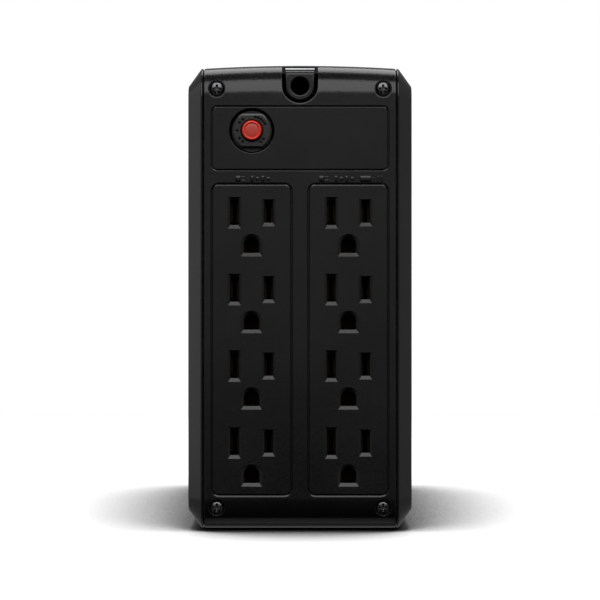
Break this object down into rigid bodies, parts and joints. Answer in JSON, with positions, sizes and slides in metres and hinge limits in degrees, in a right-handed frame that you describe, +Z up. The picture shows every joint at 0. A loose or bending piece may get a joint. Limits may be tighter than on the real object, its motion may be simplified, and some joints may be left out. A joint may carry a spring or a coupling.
{
  "type": "uninterruptible power supply",
  "caption": "Mini-tower uninterruptible power supply with a two-column outlet panel, reset breaker, sliding battery door and front display.",
  "frame": {"origin": "bottom centre of the object as it stands, on the floor under the middle of its length and width", "axes": "+Z up; +Y from the outlet panel towards the display face; +X to the right when looking at the outlets"},
  "size_m": [0.0836, 0.242, 0.1743],
  "materials": {
    "shell": "fine textured satin black",
    "gland": "satin black",
    "black_screw": "black oxide",
    "rubber": "matt",
    "breaker_black": "satin black",
    "reset_red": "satin red",
    "brass": "bright stamped",
    "carrier_nylon": "matt",
    "wire_black": "satin",
    "wire_white": "satin",
    "wire_green": "satin",
    "wire_red": "satin",
    "battery_plastic": "satin",
    "steel": "varnished laminations",
    "winding": "varnished",
    "board": "satin solder mask",
    "aluminium": "extruded",
    "component_black": "matt",
    "relay_plastic": "satin",
    "capacitor_sleeve": "glossy sleeve",
    "fuse_glass": "ceramic",
    "display_clear": "glossy smoked"
  },
  "bodies": {
    "case": {"base_tray": "shell", "battery_case": "battery_plastic", "battery_lead_black": "wire_black", "battery_lead_red": "wire_red", "battery_terminal_negative": "brass", "battery_terminal_positive": "brass", "breaker_bezel": "breaker_black", "breaker_housing": "breaker_black", "breaker_tab_1": "brass", "breaker_tab_2": "brass", "buzzer": "component_black", "capacitor_1": "capacitor_sleeve", "capacitor_2": "capacitor_sleeve", "cord_gland": "gland", "display_window": "display_clear", "foot_1": "rubber", "foot_2": "rubber", "front_bezel": "shell", "front_board": "board", "fuse": "fuse_glass", "heat_sink": "aluminium", "lcd_module": "component_black", "left_contact_carrier": "carrier_nylon", "left_ground_bus_bar": "brass", "left_ground_wire": "wire_green", "left_line_bus_bar": "brass", "left_line_wire": "wire_black", "left_neutral_bus_bar": "brass", "left_neutral_wire": "wire_white", "left_side_cover": "shell", "main_board": "board", "mosfet_1": "component_black", "mosfet_2": "component_black", "panel_screw_1": "black_screw", "panel_screw_2": "black_screw", "panel_screw_3": "black_screw", "panel_screw_4": "black_screw", "rear_panel": "shell", "right_contact_carrier": "carrier_nylon", "right_ground_bus_bar": "brass", "right_ground_wire": "wire_green", "right_line_bus_bar": "brass", "right_line_wire": "wire_black", "right_neutral_bus_bar": "brass", "right_neutral_wire": "wire_white", "right_side_cover": "shell", "top_cover": "shell", "transfer_relay_1": "relay_plastic", "transfer_relay_2": "relay_plastic", "transformer_bracket": "steel", "transformer_core": "steel", "transformer_winding": "winding"},
    "breaker_button": {"breaker_button": "reset_red"},
    "power_button": {"power_button": "shell"},
    "display_button": {"display_button": "shell"},
    "battery_door": {"battery_door": "shell", "foot_3": "rubber", "foot_4": "rubber"}
  },
  "joints": [
    {"name": "breaker_reset", "type": "slide", "parent": "case", "child": "breaker_button", "axis": [0, -1, 0], "range_m": [-0.001, 0.0035], "stiffness_N_per_m": 200},
    {"name": "power_press", "type": "slide", "parent": "case", "child": "power_button", "axis": [0, -1, 0], "range_m": [0, 0.0015], "stiffness_N_per_m": 400},
    {"name": "display_press", "type": "slide", "parent": "case", "child": "display_button", "axis": [0, -1, 0], "range_m": [0, 0.0015], "stiffness_N_per_m": 400},
    {"name": "battery_door_slide", "type": "slide", "parent": "case", "child": "battery_door", "axis": [0, 1, 0], "range_m": [0, 0.025]}
  ]
}
